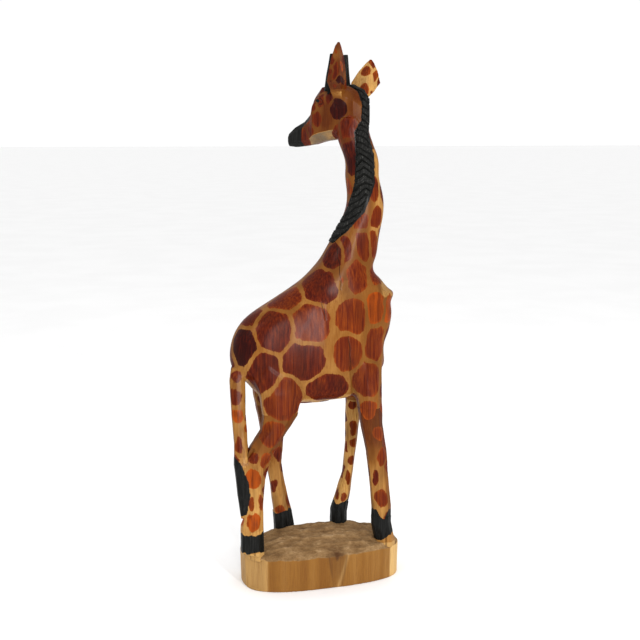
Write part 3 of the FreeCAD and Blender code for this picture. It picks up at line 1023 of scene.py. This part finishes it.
def make_ear(side):
    """A leaf-shaped ear in flat cuts."""
    low, high = box_corners(side + "_ear")
    block = Block(low - 3, high + 3, 0.45)
    values = block.distances([side + "_ear"]) - 0.1
    piece = sculpt(side + "_ear", block, values, [], ear_marks, 1)
    points = mesh_points(piece.data)
    pale = 1.15 if side == "right" else bumps(points, 12, 89) * 0.4 - 0.8
    paint_body(piece, 1.0, 2.5, pale)
    return complete(piece, "painted_wood", side + "_ear")


def ear_marks(points, normals):
    """Small knife flats."""
    return scallops(points, (8, 8, 18), 67) * 0.35 - 0.15


def make_horn(side):
    """A blunt horn with a rounded tip."""
    low, high = box_corners(side + "_horn")
    block = Block(low - 3, high + 3, 0.4)
    values = block.distances([side + "_horn"]) - 0.1
    piece = sculpt(side + "_horn", block, values, [], leg_marks, 3)
    return complete(piece, "black_paint", side + "_horn")


def plinth_marks(points, normals):
    """Gouge marks on the mound, and faint saw flats on the side."""
    top = ease(0.25, 0.6, normals[:, 2]) * ease(26, 32, points[:, 2])
    gouges = scallops(points, (15, 9, 10), 71) * 2.2 + bumps(points, 5, 73) * 0.6 - 1.1
    fibres = bumps(points, (9, 1.6, 1.6), 75) * 0.4
    flats = scallops(points, (26, 26, 90), 77) * 0.5 - 0.4
    left_flat = np.maximum(points @ (-0.82, -0.57, 0) - 80.8, 0) * ease(0.8, 0.2, np.abs(normals[:, 2]))
    return top * (gouges + fibres) + (1 - top) * flats - left_flat


def knot_shade(points):
    """The dark of the knot in the near side, with grain that bends round it."""
    x, y, z = points.T
    ring = np.hypot((x - 6) / 7.5, (z - 37) / 6) + bumps(points, 3, 93) * 0.35
    core = np.exp(-ring ** 2) * 0.9
    edge = np.abs(x - 7) - 11 + (37 - z) * 0.15
    figure = ease(1.0, -1.0, edge) * 0.36 + np.exp(-(edge / 1.2) ** 2) * 0.35
    figure *= ease(-12, 26, z) * ease(39, 36, z)
    return np.maximum(core, figure) * ease(0, -20, y)


def make_plinth():
    """The block at the foot of the log."""
    block = Block((-100, -52, -3), (100, 52, 60), 0.85)
    values = block.distances(["plinth"])
    piece = sculpt("plinth", block, values, [((0, 0, 0.0), (0, 0, -1))], plinth_marks, 1)
    mesh = piece.data
    points = mesh_points(mesh)
    normals = vertex_normals(mesh)
    store(mesh, "rough", ease(0.3, 0.55, normals[:, 2]) * ease(24, 30, points[:, 2]))
    wander = bumps(points, (8, 8, 60), 91) * 2
    left_end = ease(-71, -73, points[:, 0] + wander * 0.3) * 0.45
    right_end = ease(71, 74, points[:, 0] + wander)
    near_line = np.exp(-((points[:, 0] - 9 - (points[:, 2] - 5) * 0.30) / 2.0) ** 2) * 0.35
    near_line *= ease(0, -20, points[:, 1])
    store(mesh, "sapwood", np.maximum(np.maximum(left_end, right_end), near_line))
    store(mesh, "knot", knot_shade(points))
    return complete(piece, "bare_wood", "plinth")


# ---------------------------------------------------------------- stage

def make_floor():
    """A plain pale floor."""
    mesh = bpy.data.meshes.new("floor")
    half = 60.0
    corners = [(-half, -half, 0), (half, -half, 0), (half, half, 0), (-half, half, 0)]
    mesh.from_pydata(corners, [], [(0, 1, 2, 3)])
    floor = bpy.data.objects.new("floor", mesh)
    bpy.context.scene.collection.objects.link(floor)
    s = Shader("floor")
    tint = s.ramp(s.noise((0.004, 0.004, 0.004)), ((0.4, (0.90, 0.90, 0.90)), (0.6, (0.92, 0.92, 0.92))))
    floor.data.materials.append(s.finish(tint, 0.8, s.bump(s.noise((0.2, 0.2, 0.2)), 0.01)))


def make_light(name, place, width, height, power):
    """A soft upright light that faces the statue."""
    data = bpy.data.lights.new(name, "AREA")
    data.shape = "RECTANGLE"
    data.size = width
    data.size_y = height
    data.energy = power
    light = bpy.data.objects.new(name, data)
    light.location = place
    aim = CAMERA_TARGET - Vector(place)
    light.rotation_euler = aim.to_track_quat("-Z", "Y").to_euler()
    bpy.context.scene.collection.objects.link(light)


def make_world():
    """A white room."""
    world = bpy.data.worlds.new("room")
    world.use_nodes = True
    world.node_tree.nodes["Background"].inputs["Color"].default_value = (1, 1, 1, 1)
    world.node_tree.nodes["Background"].inputs["Strength"].default_value = 1.02
    bpy.context.scene.world = world


def make_camera():
    """The camera, with the whole statue in view."""
    back = Vector((
        math.sin(CAMERA_AZIMUTH) * math.cos(CAMERA_ELEVATION),
        -math.cos(CAMERA_AZIMUTH) * math.cos(CAMERA_ELEVATION),
        math.sin(CAMERA_ELEVATION)))
    data = bpy.data.cameras.new("camera")
    data.lens = CAMERA_LENS
    data.sensor_width = 36.0
    camera = bpy.data.objects.new("camera", data)
    camera.location = CAMERA_TARGET + back * CAMERA_DISTANCE
    camera.rotation_euler = (-back).to_track_quat("-Z", "Y").to_euler()
    bpy.context.scene.collection.objects.link(camera)
    bpy.context.scene.camera = camera


make_camera()
make_world()
make_floor()
make_light("window", (0.22, -1.60, 0.55), 0.12, 0.80, 15)
make_light("side_window", (-0.35, -1.60, 0.55), 0.10, 0.70, 6)
make_light("lamp", (-1.3, -0.8, 1.4), 0.6, 0.6, 4)
make_light("sky", (0.3, 0.2, 2.0), 1.6, 1.6, 5)
bpy.context.scene.view_settings.view_transform = "Standard"

make_plinth()
make_torso()
make_neck()
make_head()
make_muzzle()
for leg_name in LEGS:
    make_leg(leg_name)
make_tail()
make_mane()
for ear_side in ("left", "right"):
    make_ear(ear_side)
    make_horn(ear_side)
